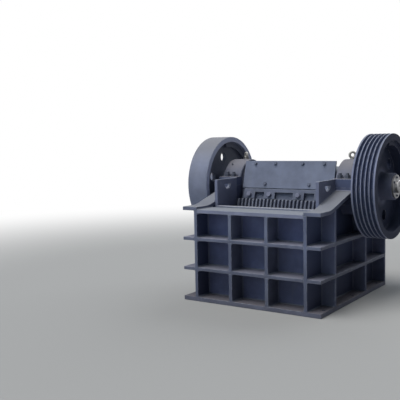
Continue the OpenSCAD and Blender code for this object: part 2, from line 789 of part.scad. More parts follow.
module swing_jaw_body() color(paint) difference() {
    union() {
        jaw_prism(-barrel_half, barrel_half) circle(r = barrel_r);
        jaw_prism(-barrel_half, barrel_half) slab_and_foot();
        jaw_prism(ledge_inset - jaw_half, jaw_half - ledge_inset)
            polygon([[jaw_face - eps, jaw_low], [jaw_face + swing_root - ledge_inset, jaw_low],
                     [jaw_face + slab_toe, toe + eps], [jaw_face - slab_toe, toe + eps]]);
        for (x = [-barrel_half + jaw_rib_t / 2, -jaw_rib_in, jaw_rib_in, barrel_half - jaw_rib_t / 2])
            jaw_prism(x - jaw_rib_t / 2, x + jaw_rib_t / 2) back_rib();
    }
    x_bar(barrel_bore_r, -barrel_half - past, barrel_half + past, ecc_y, ecc_z);
    jaw_prism(-toggle_half - toggle_side, toggle_half + toggle_side)
        translate([foot_back, jaw_low + seat_up]) circle(r = toggle_end_r + toggle_room);
}

module swing_jaw_plate() color(bare)
    in_jaw_plane() translate([0, jaw_face, jaw_low])
        toothed_plate(tooth_shift, swing_plate_t, swing_plate_len);

// Bearing rings in the barrel, each with the cover outside it
module jaw_bearings() color(bare) both_sides() {
    cover_in = barrel_half - cover_fit - jaw_cover_t;
    x_ring(barrel_bore_r, ecc_r + run_fit, cover_in - jaw_bearing_w, cover_in, ecc_y, ecc_z);
    x_ring(barrel_bore_r, ecc_r + cover_fit, cover_in, cover_in + jaw_cover_t, ecc_y, ecc_z);
}

// Clamp bar between the guard plate and the toothed plate, open downwards between
// its bolts
module clamp_bar() color(dust) in_jaw_plane() difference() {
    front = jaw_face + clamp_t;
    slab([-clamp_half, jaw_face, clamp_low], [clamp_half, front, clamp_top]);
    for (i = [0:2])
        slab([clamp_bolts_x[i] + notch_side, front - notch_depth, clamp_low - past],
             [clamp_bolts_x[i + 1] - notch_side, front + past, clamp_top - notch_top]);
}

// Hexagon head on its washer, out of the jaw's face
module face_bolt(r) {
    rotate([-90, 0, 0]) {
        cylinder(r = 1.9 * r, h = 0.4 * r);
        translate([0, 0, 0.4 * r]) cylinder(r = 1.75 * r, h = 1.3 * r, $fn = 6);
    }
}

module clamp_bolts() color(bare) in_jaw_plane()
    for (x = clamp_bolts_x)
        translate([x, jaw_face + clamp_t, clamp_bolt_h]) face_bolt(clamp_bolt_r);

module guard_plate() color(paint) in_jaw_plane()
    slab([-barrel_half, jaw_face, -guard_down], [barrel_half, jaw_face + guard_t, guard_up]);

module guard_bolts() color(bare) in_jaw_plane() {
    for (x = [-guard_bolt_out, -guard_bolt_in, guard_bolt_in, guard_bolt_out])
        translate([x, jaw_face + guard_t, guard_up - guard_bolt_top_edge]) face_bolt(guard_bolt_r);
    for (x = [-1, 1] * guard_bolt_low)
        translate([x, jaw_face + guard_t, guard_bolt_low_edge - guard_down]) face_bolt(guard_bolt_r);
}

// Shaft: eccentric middle, journals, wheel seats and plain ends
module eccentric_shaft() color(bare) {
    x_bar(ecc_r, -barrel_half, barrel_half, ecc_y, ecc_z);
    x_bar(journal_r, -hub_in, hub_in);
    x_bar(wheel_seat_r, -hub_out, hub_out);
    end = shaft_end - shaft_chamfer;
    x_bar(shaft_end_r, -end, end);
    both_sides() turned() polygon([[0, end - eps], [shaft_end_r, end - eps], [shaft_end_r, end],
                                   [shaft_end_r - shaft_chamfer, shaft_end], [0, shaft_end]]);
}

// Sector of a ring about the shaft, centred on the counterweight's direction
module weight_sector(r1, x0, x1) {
    side_prism(x0, x1) translate([axis_y, axis_z]) intersection() {
        difference() {
            circle(r = r1);
            circle(r = weight_r);
        }
        rotate(weight_dir)
            polygon([[0, 0], 2 * r1 * [cos(weight_arc / 2), -sin(weight_arc / 2)], [2 * r1, 0],
                     2 * r1 * [cos(weight_arc / 2), sin(weight_arc / 2)]]);
    }
}

// Wheel casting, on the right side: tread is the rim's outline from its inner to its
// outer edge, rim_r the rim's inner radius at both edges, out the rim's outer edge
module wheel(tread, tread_round, rim_r, out) {
    edge = wheel_edge_r;
    fillet = wheel_fillet;
    difference() {
        turned() polygon(rounded(
            concat(tread, [[rim_r, out], [rim_r - rim_draft, web_back], [hub_r + hub_draft, web_back],
                           [hub_r, hub_out], [wheel_seat_r, hub_out], [wheel_seat_r, hub_in], [hub_r, hub_in],
                           [hub_r + hub_draft, web_face], [rim_r - rim_draft, web_face], [rim_r, wheel_in]]),
            concat(tread_round, [edge, fillet, fillet, edge, 0, 0, edge, fillet, fillet, edge])));
        for (i = [0:web_hole_n - 1]) {
            a = weight_dir + web_hole_turn + 360 * i / web_hole_n;
            x_bar(web_hole_r, wheel_in, out, axis_y + web_hole_circle * cos(a),
                  axis_z + web_hole_circle * sin(a));
        }
    }
    weight_sector(rim_r - eps, wheel_in + weight_inner_drop, web_face + eps);
    weight_sector(rim_r - eps, web_back - eps, out - weight_outer_drop);
}

module flywheel() color(dust) mirror([1, 0, 0])
    wheel([[wheel_r, wheel_in], [wheel_r, flywheel_out]], [wheel_edge_r, wheel_edge_r],
          flywheel_rim_r, flywheel_out);

module sheave() color(dark) {
    first = (wheel_in + wheel_out) / 2 - (groove_n - 1) / 2 * groove_pitch;
    half_top = groove_w / 2;
    half_low = half_top - groove_depth * tan(groove_flank);
    low_r = wheel_r - groove_depth;
    tread = [[wheel_r, wheel_in],
             for (i = [0:groove_n - 1]) let (x = first + i * groove_pitch) each [
                 [wheel_r, x - half_top], [low_r, x - half_low], [low_r, x + half_low], [wheel_r, x + half_top]],
             [wheel_r, wheel_out]];
    wheel(tread, [for (p = tread) 0], sheave_rim_r, wheel_out);
}

module wheel_lock_rings() color(bare) both_sides()
    x_ring(lock_ring_r, shaft_end_r + seat_fit, hub_out, hub_out + lock_ring_t);

// Toggle beam with the toggle's rear seat
module toggle_beam() color(paint) difference() {
    side_prism(-half_gap, half_gap)
        polygon(rounded([[beam_y, beam_z - beam_h / 2], [beam_y, beam_z + beam_h / 2],
                         [rear_wall_y, beam_z + beam_h / 2], [rear_wall_y, beam_z - beam_h / 2]],
                        [toggle_end_r, toggle_end_r, 0, 0]));
    x_bar(toggle_end_r + seat_fit, -toggle_half - toggle_side, toggle_half + toggle_side, beam_y, beam_z);
}

module toggle_plate() color(bare) translate([0, beam_y, beam_z]) rotate([toggle_angle, 0, 0]) {
    x_bar(toggle_end_r, -toggle_half, toggle_half, 0, 0);
    x_bar(toggle_end_r, -toggle_half, toggle_half, -toggle_len, 0);
    slab([-toggle_half, -toggle_len, -toggle_t / 2], [toggle_half, 0, toggle_t / 2]);
}

// Tension rods: an eye at the jaw, and a washer and nut behind the spring
module tension_rods() color(bare) for (x = [-1, 1] * rod_pitch / 2) {
    translate([x, rod_front, rod_z]) rotate([-90, 0, 0])
        cylinder(r = rod_r, h = rear_y - rod_end_gap - rod_front);
    translate([x, washer_y, rod_z]) rotate([-90, 0, 0]) {
        cylinder(r = spring_r + 1.5 * spring_wire_r, h = washer_t);
        translate([0, 0, washer_t]) cylinder(r = 1.8 * rod_r, h = 1.6 * rod_r, $fn = 6);
    }
    x_ring(2.1 * rod_r, 1.1 * rod_r, x - rod_r, x + rod_r, rod_front, rod_z);
}

// Point of a coil spring's surface: a turns the helix, b goes round the wire.
function coil_point(a, b) =
    [(spring_r + spring_wire_r * cos(b)) * cos(a), (spring_r + spring_wire_r * cos(b)) * sin(a),
     spring_wire_r + (spring_len - 2 * spring_wire_r) * a / (360 * spring_turns) + spring_wire_r * sin(b)];

module coil() {
    steps = 14 * spring_turns;
    sides = 8;
    points = [for (i = [0:steps]) for (j = [0:sides - 1])
              coil_point(360 * spring_turns * i / steps, 360 * j / sides)];
    walls = [for (i = [0:steps - 1]) for (j = [0:sides - 1]) let (k = (j + 1) % sides)
             [i * sides + j, i * sides + k, (i + 1) * sides + k, (i + 1) * sides + j]];
    polyhedron(points, concat(walls, [[for (j = [sides - 1:-1:0]) j]],
                              [[for (j = [0:sides - 1]) steps * sides + j]]));
}

module tension_springs() color(dark) for (x = [-1, 1] * rod_pitch / 2)
    translate([x, spring_y, rod_z]) rotate([-90, 0, 0]) coil();

base_strip(-1);  // left_base_strip
base_strip(1);  // right_base_strip
base_end_strips();
front_wall();
rear_wall();
side_wall(-1);  // left_side_wall
side_wall(1);  // right_side_wall
front_ribs();
rear_ribs();
side_ribs();
front_shelves();
rear_shelves();
side_shelves();
front_top_flange();
rear_top_flange();
side_flange(-1);  // left_side_flange
side_flange(1);  // right_side_flange
ear_plate(-1);  // left_ear_plate
ear_plate(1);  // right_ear_plate
bearing_seat(-1);  // left_bearing_seat
bearing_seat(1);  // right_bearing_seat
bearing_cap(-1);  // left_bearing_cap
bearing_cap(1);  // right_bearing_cap
cap_studs();
cap_eyebolts();
main_bearings();
bearing_end_covers();
fixed_jaw_plate();
cheek_plate(-1);  // left_cheek_plate
cheek_plate(1);  // right_cheek_plate
toggle_beam();
toggle_plate();
tension_rods();
tension_springs();
eccentric_shaft();
flywheel();
sheave();
wheel_lock_rings();
swing_jaw_body();
swing_jaw_plate();
jaw_bearings();
clamp_bar();
clamp_bolts();
guard_plate();
guard_bolts();
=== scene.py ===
import json
from math import cos, pi, radians, sin, tan

import bmesh
import bpy
from mathutils import Matrix, Vector


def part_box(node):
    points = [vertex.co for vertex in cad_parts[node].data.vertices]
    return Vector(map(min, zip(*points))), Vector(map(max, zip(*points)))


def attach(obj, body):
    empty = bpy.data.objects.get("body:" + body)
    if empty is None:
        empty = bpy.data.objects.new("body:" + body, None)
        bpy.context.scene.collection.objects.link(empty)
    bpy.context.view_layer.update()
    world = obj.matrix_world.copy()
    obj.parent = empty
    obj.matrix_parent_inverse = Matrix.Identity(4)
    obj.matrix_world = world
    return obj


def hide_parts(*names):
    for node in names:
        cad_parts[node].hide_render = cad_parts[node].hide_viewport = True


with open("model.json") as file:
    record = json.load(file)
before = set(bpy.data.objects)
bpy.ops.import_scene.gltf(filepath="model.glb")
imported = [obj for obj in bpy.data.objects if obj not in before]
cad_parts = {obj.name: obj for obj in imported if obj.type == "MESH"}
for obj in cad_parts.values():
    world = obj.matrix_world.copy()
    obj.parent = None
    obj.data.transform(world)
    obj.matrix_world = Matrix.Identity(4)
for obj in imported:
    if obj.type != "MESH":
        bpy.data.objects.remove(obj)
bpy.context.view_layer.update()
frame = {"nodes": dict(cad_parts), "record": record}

# Places and sizes in metres. The machine is symmetrical, so its right side gives both.
wall_low, wall_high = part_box("right_side_wall")
WALL_IN, WALL_OUT, FRONT, REAR = wall_low.x, wall_high.x, wall_low.y, wall_high.y
strip_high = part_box("right_base_strip")[1]
HALF_W, BASE_TOP = strip_high.x, strip_high.z
FRONT_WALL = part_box("front_wall")[0].y
REAR_WALL_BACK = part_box("rear_wall")[1].y
shelf_low, shelf_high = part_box("front_shelves")
BAY = shelf_low.z - BASE_TOP
BAY_STEP = (shelf_high.z - BASE_TOP) / 2
FRONT_FLANGE, REAR_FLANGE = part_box("front_top_flange"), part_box("rear_top_flange")
RIB_OUT, RIB_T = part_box("front_ribs")[1].x, 0.030
SIDE_RIBS = (-0.466, 0.214)
FLANGE_T, FLANGE_SLOPE, BEND_Y = 0.032, radians(16), -0.544
seat_low, seat_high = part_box("right_bearing_seat")
ear_low, ear_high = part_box("right_ear_plate")
SHAFT = Vector((0.0, (seat_low.y + seat_high.y) / 2, seat_high.z))
JAW, JAW_LEAN = Vector(frame["record"]["behaviour"]["joints"][1]["pos_m"]), radians(16)
FOOT_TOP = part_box("cap_studs")[0].z
COVER_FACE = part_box("bearing_end_covers")[1].x
RING_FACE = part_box("wheel_lock_rings")[1].x
SHAFT_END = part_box("eccentric_shaft")[1].x

# The ears' lifting openings: the arc's middle and radius, and the flat over it
SLING = Vector((0.0, ear_low.y + 0.178, ear_high.z - 0.036))
SLING_R, SLING_TOP = 0.058, ear_high.z - 0.046

# The wheels' radius, the sheave's outer face and the radii between which their painted shade and
# painted light change
WHEEL_R, SHEAVE_OUT = 0.465, 0.939
SHEAVE_HUB, SHEAVE_RIM = (0.13, 0.20), (0.428, 0.434)
FLYWHEEL_DISC, FLYWHEEL_RIM = (0.14, 0.30), (0.408, 0.416)

# How far the swing plate's tooth roots and crests stand out from the jaw's pivot
TOOTH_ROOT, TOOTH_CREST = 0.243, 0.262


# Camera and lamps

def place_camera():
    """Camera at the photograph's viewing angle."""
    yaw, pitch, roll = radians(-34.886), radians(5.096), radians(-1.147)
    ahead = Vector((sin(yaw) * cos(pitch), cos(yaw) * cos(pitch), -sin(pitch)))
    level = Vector((cos(yaw), -sin(yaw), 0.0))
    upright = level.cross(ahead)
    right = level * cos(roll) + upright * sin(roll)
    up = upright * cos(roll) - level * sin(roll)
    stand = Vector((2.9196, -5.6251, 1.4478))
    data = bpy.data.cameras.new("camera")
    data.lens, data.sensor_width = 60.63, 36.0
    data.clip_end = 200.0
    camera = bpy.data.objects.new("camera", data)
    turn = Matrix((right, up, -ahead)).transposed().to_4x4()
    camera.matrix_world = Matrix.Translation(stand) @ turn
    bpy.context.scene.collection.objects.link(camera)
    bpy.context.scene.camera = camera


def sun_lamp(name, shines, level, spread, colour):
    """A soft lamp far away; level is how bright it shows white that faces it."""
    data = bpy.data.lights.new(name, "SUN")
    data.energy, data.angle, data.color = level * pi, radians(spread), colour
    lamp = bpy.data.objects.new(name, data)
    lamp.rotation_euler = Vector(shines).to_track_quat("-Z", "Y").to_euler()
    bpy.context.scene.collection.objects.link(lamp)


# Shader maths

class Shade:
    """A number, colour or vector that varies over a surface, with the maths on it."""

    def __init__(self, finish, socket):
        self.finish, self.socket = finish, socket

    def math(self, operation, *terms):
        return self.finish.node("ShaderNodeMath", {"operation": operation}, *terms)

    def __add__(self, other):
        return self.math("ADD", self, other)

    __radd__ = __add__

    def __sub__(self, other):
        return self.math("SUBTRACT", self, other)

    def __rsub__(self, other):
        return self.math("SUBTRACT", other, self)

    def __mul__(self, other):
        return self.math("MULTIPLY", self, other)

    __rmul__ = __mul__

    def __pow__(self, other):
        return self.math("POWER", self, other)

    def clamped(self):
        return self.finish.node("ShaderNodeClamp", {}, self)


class Finish:
    """A material and the nodes in it."""

    def __init__(self, name):
        self.material = bpy.data.materials.new(name)
        self.material.use_nodes = True
        self.tree = self.material.node_tree
        self.shader = self.tree.nodes["Principled BSDF"]
        self.place = self.node("ShaderNodeTexCoord", output="Object")
        self.facing = self.node("ShaderNodeTexCoord", output="Normal")

    def node(self, kind, settings=None, *values, output=0, **named):
        """A node of that type: its settings first, then its sockets' values or links."""
        made = self.tree.nodes.new(kind)
        for key, value in (settings or {}).items():
            setattr(made, key, value)
        for key, value in [*enumerate(values), *named.items()]:
            self.feed(made.inputs[key if isinstance(key, int) else key.replace("_", " ")], value)
        return Shade(self, made.outputs[output])

    def feed(self, socket, value):
        if isinstance(value, Shade):
            self.tree.links.new(value.socket, socket)
        elif hasattr(socket.default_value, "__len__") and len(socket.default_value) == 4:
            socket.default_value = (*value[:3], 1.0)
        else:
            socket.default_value = value

    def noise(self, scale, detail=3.0, rough=0.55, stretch=None):
        """Cloudy pattern of about 1 / scale metres, from 0 to 1."""
        place = self.place
        if stretch:
            place = self.node("ShaderNodeMapping", {}, place, Scale=stretch)
        return self.node("ShaderNodeTexNoise", {}, Vector=place, Scale=scale, Detail=detail,
                         Roughness=rough, output="Fac")

    def ramp(self, value, low, high):
        """0 below low, 1 above high and smooth between."""
        return self.node("ShaderNodeMapRange", {"interpolation_type": "SMOOTHSTEP"}, value,
                         low, high, 0.0, 1.0)

    def mix(self, mask, a, b):
        """Colour a where the mask is 0 and b where it is 1."""
        made = self.tree.nodes.new("ShaderNodeMix")
        made.data_type = "RGBA"
        for name, value in (("Factor_Float", mask), ("A_Color", a), ("B_Color", b)):
            self.feed(next(i for i in made.inputs if i.identifier == name), value)
        return Shade(self, next(o for o in made.outputs if o.identifier == "Result_Color"))

    def axis(self, vector, i):
        return self.node("ShaderNodeSeparateXYZ", {}, vector, output=i)

    def attribute(self, name):
        return self.node("ShaderNodeAttribute", {"attribute_name": name}, output="Fac")

    def bump(self, height, distance, strength=1.0, under=None):
        named = {"Height": height}
        if under:
            named["Normal"] = under
        return self.node("ShaderNodeBump", {}, strength, distance, **named)

    def wear(self, **sockets):
        """Feeds the shader's own sockets."""
        for key, value in sockets.items():
            self.feed(self.shader.inputs[key.replace("_", " ")], value)
        return self.material


# Finishes

def from_shaft(f):
    """Distance of a point from the shaft's axis."""
    y, z = f.axis(f.place, 1) - SHAFT.y, f.axis(f.place, 2) - SHAFT.z
    return (y * y + z * z) ** 0.5


def sheave_shade_and_dirt(f):
    """Painted shade, partly dirt, on all but the lands between the belt grooves, darkest on the
    sides.
    """
    r, x = from_shaft(f), f.axis(f.place, 0)
    off_lands = 1.0 - f.ramp(r, WHEEL_R - 0.0030, WHEEL_R - 0.0008)
    off_side = 1.0 - f.ramp(x, SHEAVE_OUT - 0.003, SHEAVE_OUT - 0.001)
    # Near-black painted shadow on the disc and outer face, a bluish painted shade in the grooves
    colour = f.mix(f.ramp(r, *SHEAVE_RIM) * off_side, (0.016, 0.022, 0.046), (0.052, 0.068, 0.128))
    return off_lands * (0.5 + 0.5 * f.ramp(r, *SHEAVE_HUB)), colour


def sideways(f):
    """1 where the surface faces along X."""
    x = f.axis(f.facing, 0)
    return f.ramp(x * x, 0.5, 0.9)


def flywheel_shade_and_light(f):
    """Painted shade in the recess round the flywheel's disc, and painted light on the rim's inner
    side.
    """
    r = from_shaft(f)
    rim, inner_side = f.ramp(r, *FLYWHEEL_RIM), f.ramp(f.axis(f.facing, 0), 0.7, 0.95)
    mask = f.ramp(r, *FLYWHEEL_DISC) * (1.0 - rim) + rim * inner_side
    # Dark painted shade in the recess, bright painted light on the rim's inner side
    return mask, f.mix(rim, (0.100, 0.110, 0.150), (0.470, 0.500, 0.660))


def wall_painted_shade(f):
    """Painted shade on a side wall's outer face, and none on its edges in front and behind."""
    return sideways(f), (0.058, 0.074, 0.142)


def foot_dark_tone(f):
    """A darker, bluer tone with no dust on the front and the ends of a cap's foot."""
    below_top = 1.0 - f.ramp(f.axis(f.place, 2), FOOT_TOP - 0.006, FOOT_TOP - 0.003)
    return below_top, (0.082, 0.100, 0.180)


def tooth_root_shade(f):
    """Painted shade in the roots between the swing plate's teeth."""
    pivot = JAW.y * cos(JAW_LEAN) - JAW.z * sin(JAW_LEAN)
    out = f.axis(f.place, 2) * sin(JAW_LEAN) - f.axis(f.place, 1) * cos(JAW_LEAN) + pivot
    return 1.0 - f.ramp(out, TOOTH_ROOT, TOOTH_CREST), (0.034, 0.040, 0.072)


def sling_hole_light(f):
    """Painted light inside the ears' lifting openings, below the flat over them."""
    y, z = f.axis(f.place, 1) - SLING.y, f.axis(f.place, 2)
    off = z - SLING.z
    inside = 1.0 - f.ramp((y * y + off * off) ** 0.5, SLING_R + 0.0005, SLING_R + 0.0025)
    return inside * (1.0 - f.ramp(z, SLING_TOP, SLING_TOP + 0.002)), (0.36, 0.37, 0.44)


LOW_DARK, WORN_PLATE = (0.040, 0.036, 0.036), (0.24, 0.26, 0.31)


def enamel(name, paint, dust, dusty=0.7, edge=WORN_PLATE, cast=0.0, rough=0.5, over=None,
           shine=0.12):
    """Satin enamel with dust on what faces up and worn edges; cast is how coarse its grain is.

    over gives the mask and the colour put over the paint in chosen places: painted shade, painted
    light or a darker tone.
    """
    f = Finish(name)
    up = f.axis(f.facing, 2)
    cloud, fine = f.noise(5.0, 4.0), f.noise(60.0, 3.0)
    tone = f.mix(f.ramp(cloud, 0.30, 0.75), [c * 0.84 for c in paint], [c * 1.18 for c in paint])
    runs = f.noise(14.0, 2.0, stretch=(1.0, 1.0, 0.12))
    tone = f.mix(f.ramp(runs, 0.50, 0.80) * 0.22, tone, dust)
    lies = f.ramp(up, 0.35, 0.95) * (f.ramp(cloud + 0.35 * fine, 0.25, 0.75) * 0.40 + 0.60)
    film = f.ramp(f.noise(2.2, 5.0), 0.42, 0.80) * 0.20
    tone = f.mix((lies * dusty + film).clamped(), tone, dust)
    if over:
        mask, colour = over(f)
        tone = f.mix(mask * (0.82 + 0.18 * cloud), tone, colour)
    # Darker towards the bottom
    near_ground = 1.0 - f.ramp(f.axis(f.place, 2) + 0.06 * cloud, -0.05, 0.78)
    tone = f.mix(near_ground * 0.42, tone, LOW_DARK)
    specks = f.ramp(f.noise(190.0, 2.0), 0.66, 0.74) * f.ramp(f.noise(9.0, 2.0), 0.50, 0.70)
    tone = f.mix(specks * 0.45, tone, [c * 0.45 for c in paint])
    worn = f.attribute("edge") * f.ramp(f.noise(26.0, 3.0), 0.38, 0.62)
    tone = f.mix(worn * 0.8, tone, edge)
    grain = f.bump(fine, 0.0006, 0.35)
    if cast:
        grain = f.bump(f.noise(140.0, 4.0, 0.7), 0.0012, cast, grain)
    gloss = (lies * 0.30 * dusty + film * 0.5 + fine * 0.12 + (rough - 0.06)).clamped()
    return f.wear(Base_Color=tone, Roughness=gloss, Normal=grain, Metallic=0.0,
                  Specular_IOR_Level=shine)


def worn_steel(name, bright, dark, rough=0.42, metal=0.85):
    """Bare or thinly painted steel, rubbed and a little stained."""
    f = Finish(name)
    cloud, fine = f.noise(9.0, 4.0), f.noise(90.0, 3.0)
    tone = f.mix(f.ramp(cloud, 0.35, 0.70), dark, bright)
    return f.wear(Base_Color=tone, Roughness=(fine * 0.25 + (rough - 0.12)).clamped(),
                  Metallic=metal, Normal=f.bump(fine, 0.0004, 0.3))


SLATE = (0.130, 0.147, 0.222)
GREY_DUST = (0.185, 0.202, 0.230)
WARM_DUST = (0.200, 0.206, 0.228)
COLD_DUST = (0.225, 0.228, 0.290)
finishes = {
    "frame_paint": enamel("frame_enamel", SLATE, GREY_DUST, 0.75),
    "flange_paint": enamel("plate_enamel", (0.138, 0.154, 0.225), WARM_DUST, 0.85),
    "housing_paint": enamel("housing_enamel", (0.145, 0.155, 0.212), (0.205, 0.198, 0.216), 0.85,
                            cast=0.5),
    "cover_paint": enamel("cover_enamel", (0.070, 0.078, 0.115), GREY_DUST, 0.6),
    # The flywheel carries painted shade in its recess and painted light on its rim's inner side.
    "flywheel_paint": enamel("flywheel_enamel", (0.200, 0.220, 0.305), (0.22, 0.22, 0.24), 0.9,
                             (0.30, 0.31, 0.34), cast=0.6, over=flywheel_shade_and_light),
    # The sheave's sides and grooves carry painted shade.
    "sheave_paint": enamel("sheave_enamel", (0.215, 0.232, 0.335), GREY_DUST, 0.5,
                           (0.36, 0.37, 0.42), cast=0.4, over=sheave_shade_and_dirt, shine=0.03),
    "jaw_paint": enamel("jaw_enamel", (0.125, 0.138, 0.195), GREY_DUST, 0.75, cast=0.5),
    "guard_paint": enamel("guard_enamel", (0.168, 0.188, 0.262), GREY_DUST, 0.8),
    "jaw_steel": enamel("tooth_enamel", (0.135, 0.148, 0.205), GREY_DUST, 0.7, cast=0.9),
    "machined_steel": worn_steel("turned_steel", (0.42, 0.42, 0.43), (0.20, 0.20, 0.21), 0.35),
    "plain_steel": worn_steel("plain_steel", (0.20, 0.20, 0.21), (0.09, 0.085, 0.085), 0.5, 0.6),
    "spring_steel": worn_steel("spring_steel", (0.10, 0.10, 0.105), (0.045, 0.045, 0.05), 0.4,
                               0.6),
    "fastener_steel": enamel("fastener_enamel", (0.085, 0.092, 0.125), GREY_DUST, 0.45),
}
# Finishes for some nodes of a slot, in place of the slot's own
shared = [
    # The ears carry painted light inside their lifting openings.
    (("left_ear_plate", "right_ear_plate"),
     enamel("ear_enamel", (0.180, 0.196, 0.285), GREY_DUST, 0.75, over=sling_hole_light)),
    (("left_bearing_seat", "right_bearing_seat"),
     enamel("seat_enamel", (0.088, 0.102, 0.175), WARM_DUST, 0.85, cast=0.5)),
    (("left_bearing_cap", "right_bearing_cap"),
     enamel("cap_enamel", (0.140, 0.150, 0.206), (0.200, 0.192, 0.212), 0.85, cast=0.5,
            over=foot_dark_tone)),
    (("front_wall", "rear_wall"), enamel("wall_enamel", (0.128, 0.147, 0.270), GREY_DUST, 0.75)),
    # The side walls' outer faces carry painted shade.
    (("left_side_wall", "right_side_wall"),
     enamel("side_wall_enamel", SLATE, GREY_DUST, 0.75, over=wall_painted_shade, shine=0.04)),
    (("side_ribs",),
     enamel("side_rib_enamel", (0.137, 0.154, 0.250), GREY_DUST, 0.75, shine=0.06)),
    (("front_shelves", "rear_shelves", "side_shelves"),
     enamel("shelf_enamel", (0.128, 0.142, 0.205), COLD_DUST, 0.85)),
    (("base_end_strips", "left_base_strip", "right_base_strip"),
     enamel("base_enamel", (0.158, 0.168, 0.235), (0.160, 0.152, 0.180), 0.9)),
    (("front_top_flange",),
     enamel("front_plate_enamel", (0.225, 0.240, 0.340), (0.205, 0.218, 0.240), 0.85)),
    (("clamp_bolts",), enamel("clamp_bolt_enamel", (0.20, 0.21, 0.29), GREY_DUST, 0.5)),
    (("guard_bolts",), enamel("guard_bolt_enamel", (0.135, 0.150, 0.210), GREY_DUST, 0.5)),
    # Lighter dust and edge wear than the other plates, partly a painted highlight along the
    # plate's top edge
    (("fixed_jaw_plate",),
     enamel("fixed_tooth_enamel", (0.175, 0.188, 0.250), (0.27, 0.28, 0.32), 0.9,
            (0.34, 0.35, 0.40), cast=0.7)),
    # The swing plate carries painted shade in its tooth roots.
    (("swing_jaw_plate",),
     enamel("swing_tooth_enamel", (0.165, 0.178, 0.240), GREY_DUST, 0.7, (0.26, 0.27, 0.31),
            cast=0.9, over=tooth_root_shade)),
    (("cap_eyebolts",),
     worn_steel("ring_steel", (0.42, 0.41, 0.39), (0.22, 0.21, 0.20), 0.5, 0.35)),
]
own_finish = {node: finish for nodes, finish in shared for node in nodes}
slot_of = {row["node"]: row["material_slot"] for row in frame["record"]["subparts"]}
body_of = {node: body for body, nodes in frame["record"]["behaviour"]["bodies"].items()
           for node in nodes}


# Pieces

def piece(name, mesh, body, slot):
    """The finished mesh as a piece on a body, in one of the record's slots."""
    bmesh.ops.recalc_face_normals(mesh, faces=mesh.faces)
    return settled(name, mesh, body, finishes[slot])


def settled(name, mesh, body, finish, sharp=32.0):
    """The mesh as an object, shaded smooth but for edges sharper than that many degrees."""
    for edge in mesh.edges:
        edge.smooth = len(edge.link_faces) == 2 and edge.calc_face_angle(pi) < radians(sharp)
    for face in mesh.faces:
        face.smooth = True
    data = bpy.data.meshes.new(name)
    mesh.to_mesh(data)
    mesh.free()
    made = bpy.data.objects.new(name, data)
    bpy.context.scene.collection.objects.link(made)
    data.materials.append(finish)
    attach(made, body)
    return made


def centre_holes(mesh):
    """Turned centre holes in the shaft's two end faces."""
    ends = [f for f in mesh.faces if abs(f.normal.x) > 0.99
            and abs(abs(f.calc_center_median().x) - SHAFT_END) < 1e-4]
    for end in ends:
        inward = -end.normal.copy()
        bmesh.ops.inset_region(mesh, faces=[end], thickness=0.039, use_even_offset=True)
        hole = bmesh.ops.extrude_face_region(mesh, geom=[end])["geom"]
        floor = next(g for g in hole if isinstance(g, bmesh.types.BMFace))
        middle = floor.calc_center_median()
        bmesh.ops.scale(mesh, vec=(1.0, 0.25, 0.25), verts=floor.verts,
                        space=Matrix.Translation(-middle))
        bmesh.ops.translate(mesh, vec=inward * 0.014, verts=floor.verts)
        bmesh.ops.delete(mesh, geom=[end], context="FACES_ONLY")


DOUBLES, SWING_DOUBLES = 0.00025, 0.001


def rounded_copy(node, width, segments=2, angle=34.0):
    """A copy of a CAD node with its doubles merged and its edges rounded."""
    near = SWING_DOUBLES if node == "swing_jaw_plate" else DOUBLES
    mesh = bmesh.new()
    mesh.from_mesh(frame["nodes"][node].data)
    bmesh.ops.remove_doubles(mesh, verts=mesh.verts, dist=near)
    bmesh.ops.dissolve_limit(mesh, angle_limit=radians(0.5), use_dissolve_boundaries=False,
                             verts=mesh.verts, edges=mesh.edges, delimit=set())
    if node == "eccentric_shaft":
        centre_holes(mesh)
    edge_mark = mesh.loops.layers.float.new("edge")
    sharp = [e for e in mesh.edges
             if len(e.link_faces) == 2 and e.calc_face_angle(0.0) > radians(angle)]
    made = bmesh.ops.bevel(mesh, geom=sharp, offset=width, offset_type="OFFSET",
                           affect="EDGES", segments=segments, profile=0.5, material=-1,
                           clamp_overlap=node not in FULL_WIDTH)
    for face in made["faces"]:
        for loop in face.loops:
            loop[edge_mark] = 1.0
    bmesh.ops.dissolve_degenerate(mesh, dist=5e-6, edges=mesh.edges)
    finish = own_finish.get(node, finishes[slot_of[node]])
    made = settled(node + "_piece", mesh, body_of[node], finish, 60.0)
    weighted = made.modifiers.new("flat_faces", "WEIGHTED_NORMAL")
    weighted.keep_sharp = True
    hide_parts(node)
    return made


# How wide each node's edges are rounded. Short edges make that narrower, apart from FULL_WIDTH.
PLATE_EDGE = 0.0025
edge_width = {name: PLATE_EDGE for name in frame["nodes"]}
edge_width.update({"left_bearing_cap": 0.004, "right_bearing_cap": 0.004,
                   "left_bearing_seat": 0.003, "right_bearing_seat": 0.003,
                   "swing_jaw_body": 0.0012, "clamp_bar": 0.004, "cap_studs": 0.0012,
                   "clamp_bolts": 0.001, "guard_bolts": 0.0008, "guard_plate": 0.0015,
                   "flywheel": 0.0015, "sheave": 0.0012, "fixed_jaw_plate": 0.002,
                   "swing_jaw_plate": 0.002, "tension_rods": 0.0006, "eccentric_shaft": 0.001})
FULL_WIDTH = ("swing_jaw_body", "tension_rods")
# Round nodes that need no rounding and stay as they are
KEPT = ("tension_springs", "main_bearings", "jaw_bearings", "cap_eyebolts", "wheel_lock_rings",
        "bearing_end_covers")
for name, node in frame["nodes"].items():
    if name in KEPT:
        node.data.materials.clear()
        node.data.materials.append(own_finish.get(name, finishes[slot_of[name]]))
    else:
        rounded_copy(name, edge_width[name])


# Weld beads

SWELL = 1.10


